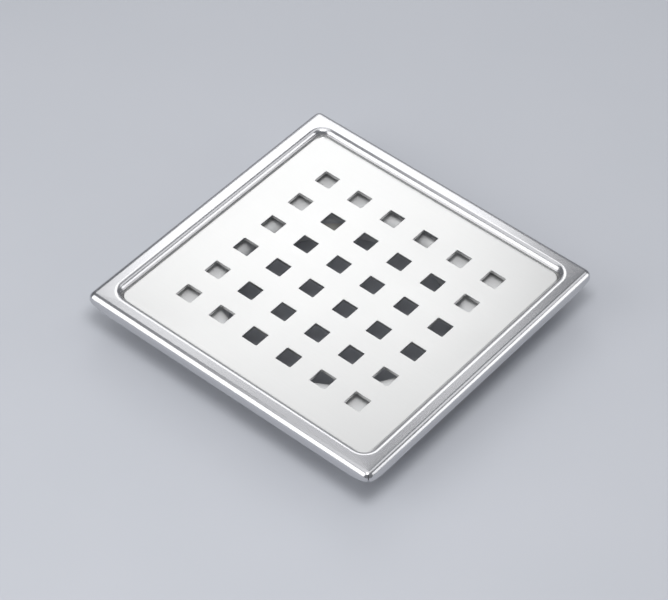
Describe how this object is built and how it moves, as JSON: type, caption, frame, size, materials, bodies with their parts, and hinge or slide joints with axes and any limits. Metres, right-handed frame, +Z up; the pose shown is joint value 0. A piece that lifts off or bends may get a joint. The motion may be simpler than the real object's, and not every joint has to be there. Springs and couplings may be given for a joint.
{
  "type": "floor drain grate",
  "caption": "Square stainless steel floor drain: pressed frame with a turned-down rim and round outlet collar, and a loose lift-out grate with square holes.",
  "frame": {"origin": "on the outlet's axis, in the plane of the outlet collar's lower edge", "axes": "+Z up out of the floor; X and Y along the frame's sides"},
  "size_m": [0.15, 0.15, 0.0224],
  "materials": {
    "frame_steel": "satin",
    "collar_steel": "mill",
    "grate_steel": "satin",
    "stud_steel": "turned",
    "cap_rubber": "matte"
  },
  "bodies": {
    "frame": {"frame_pan": "frame_steel", "outlet_collar": "collar_steel"},
    "grate": {"grate_plate": "grate_steel", "grate_stud_front_left": "stud_steel", "grate_stud_front_right": "stud_steel", "grate_stud_back_left": "stud_steel", "grate_stud_back_right": "stud_steel", "foot_cap_front_left": "cap_rubber", "foot_cap_front_right": "cap_rubber", "foot_cap_back_left": "cap_rubber", "foot_cap_back_right": "cap_rubber"}
  },
  "joints": [
    {"name": "grate_lift", "type": "slide", "parent": "frame", "child": "grate", "axis": [0, 0, 1], "range_m": [0, 0.04]}
  ]
}
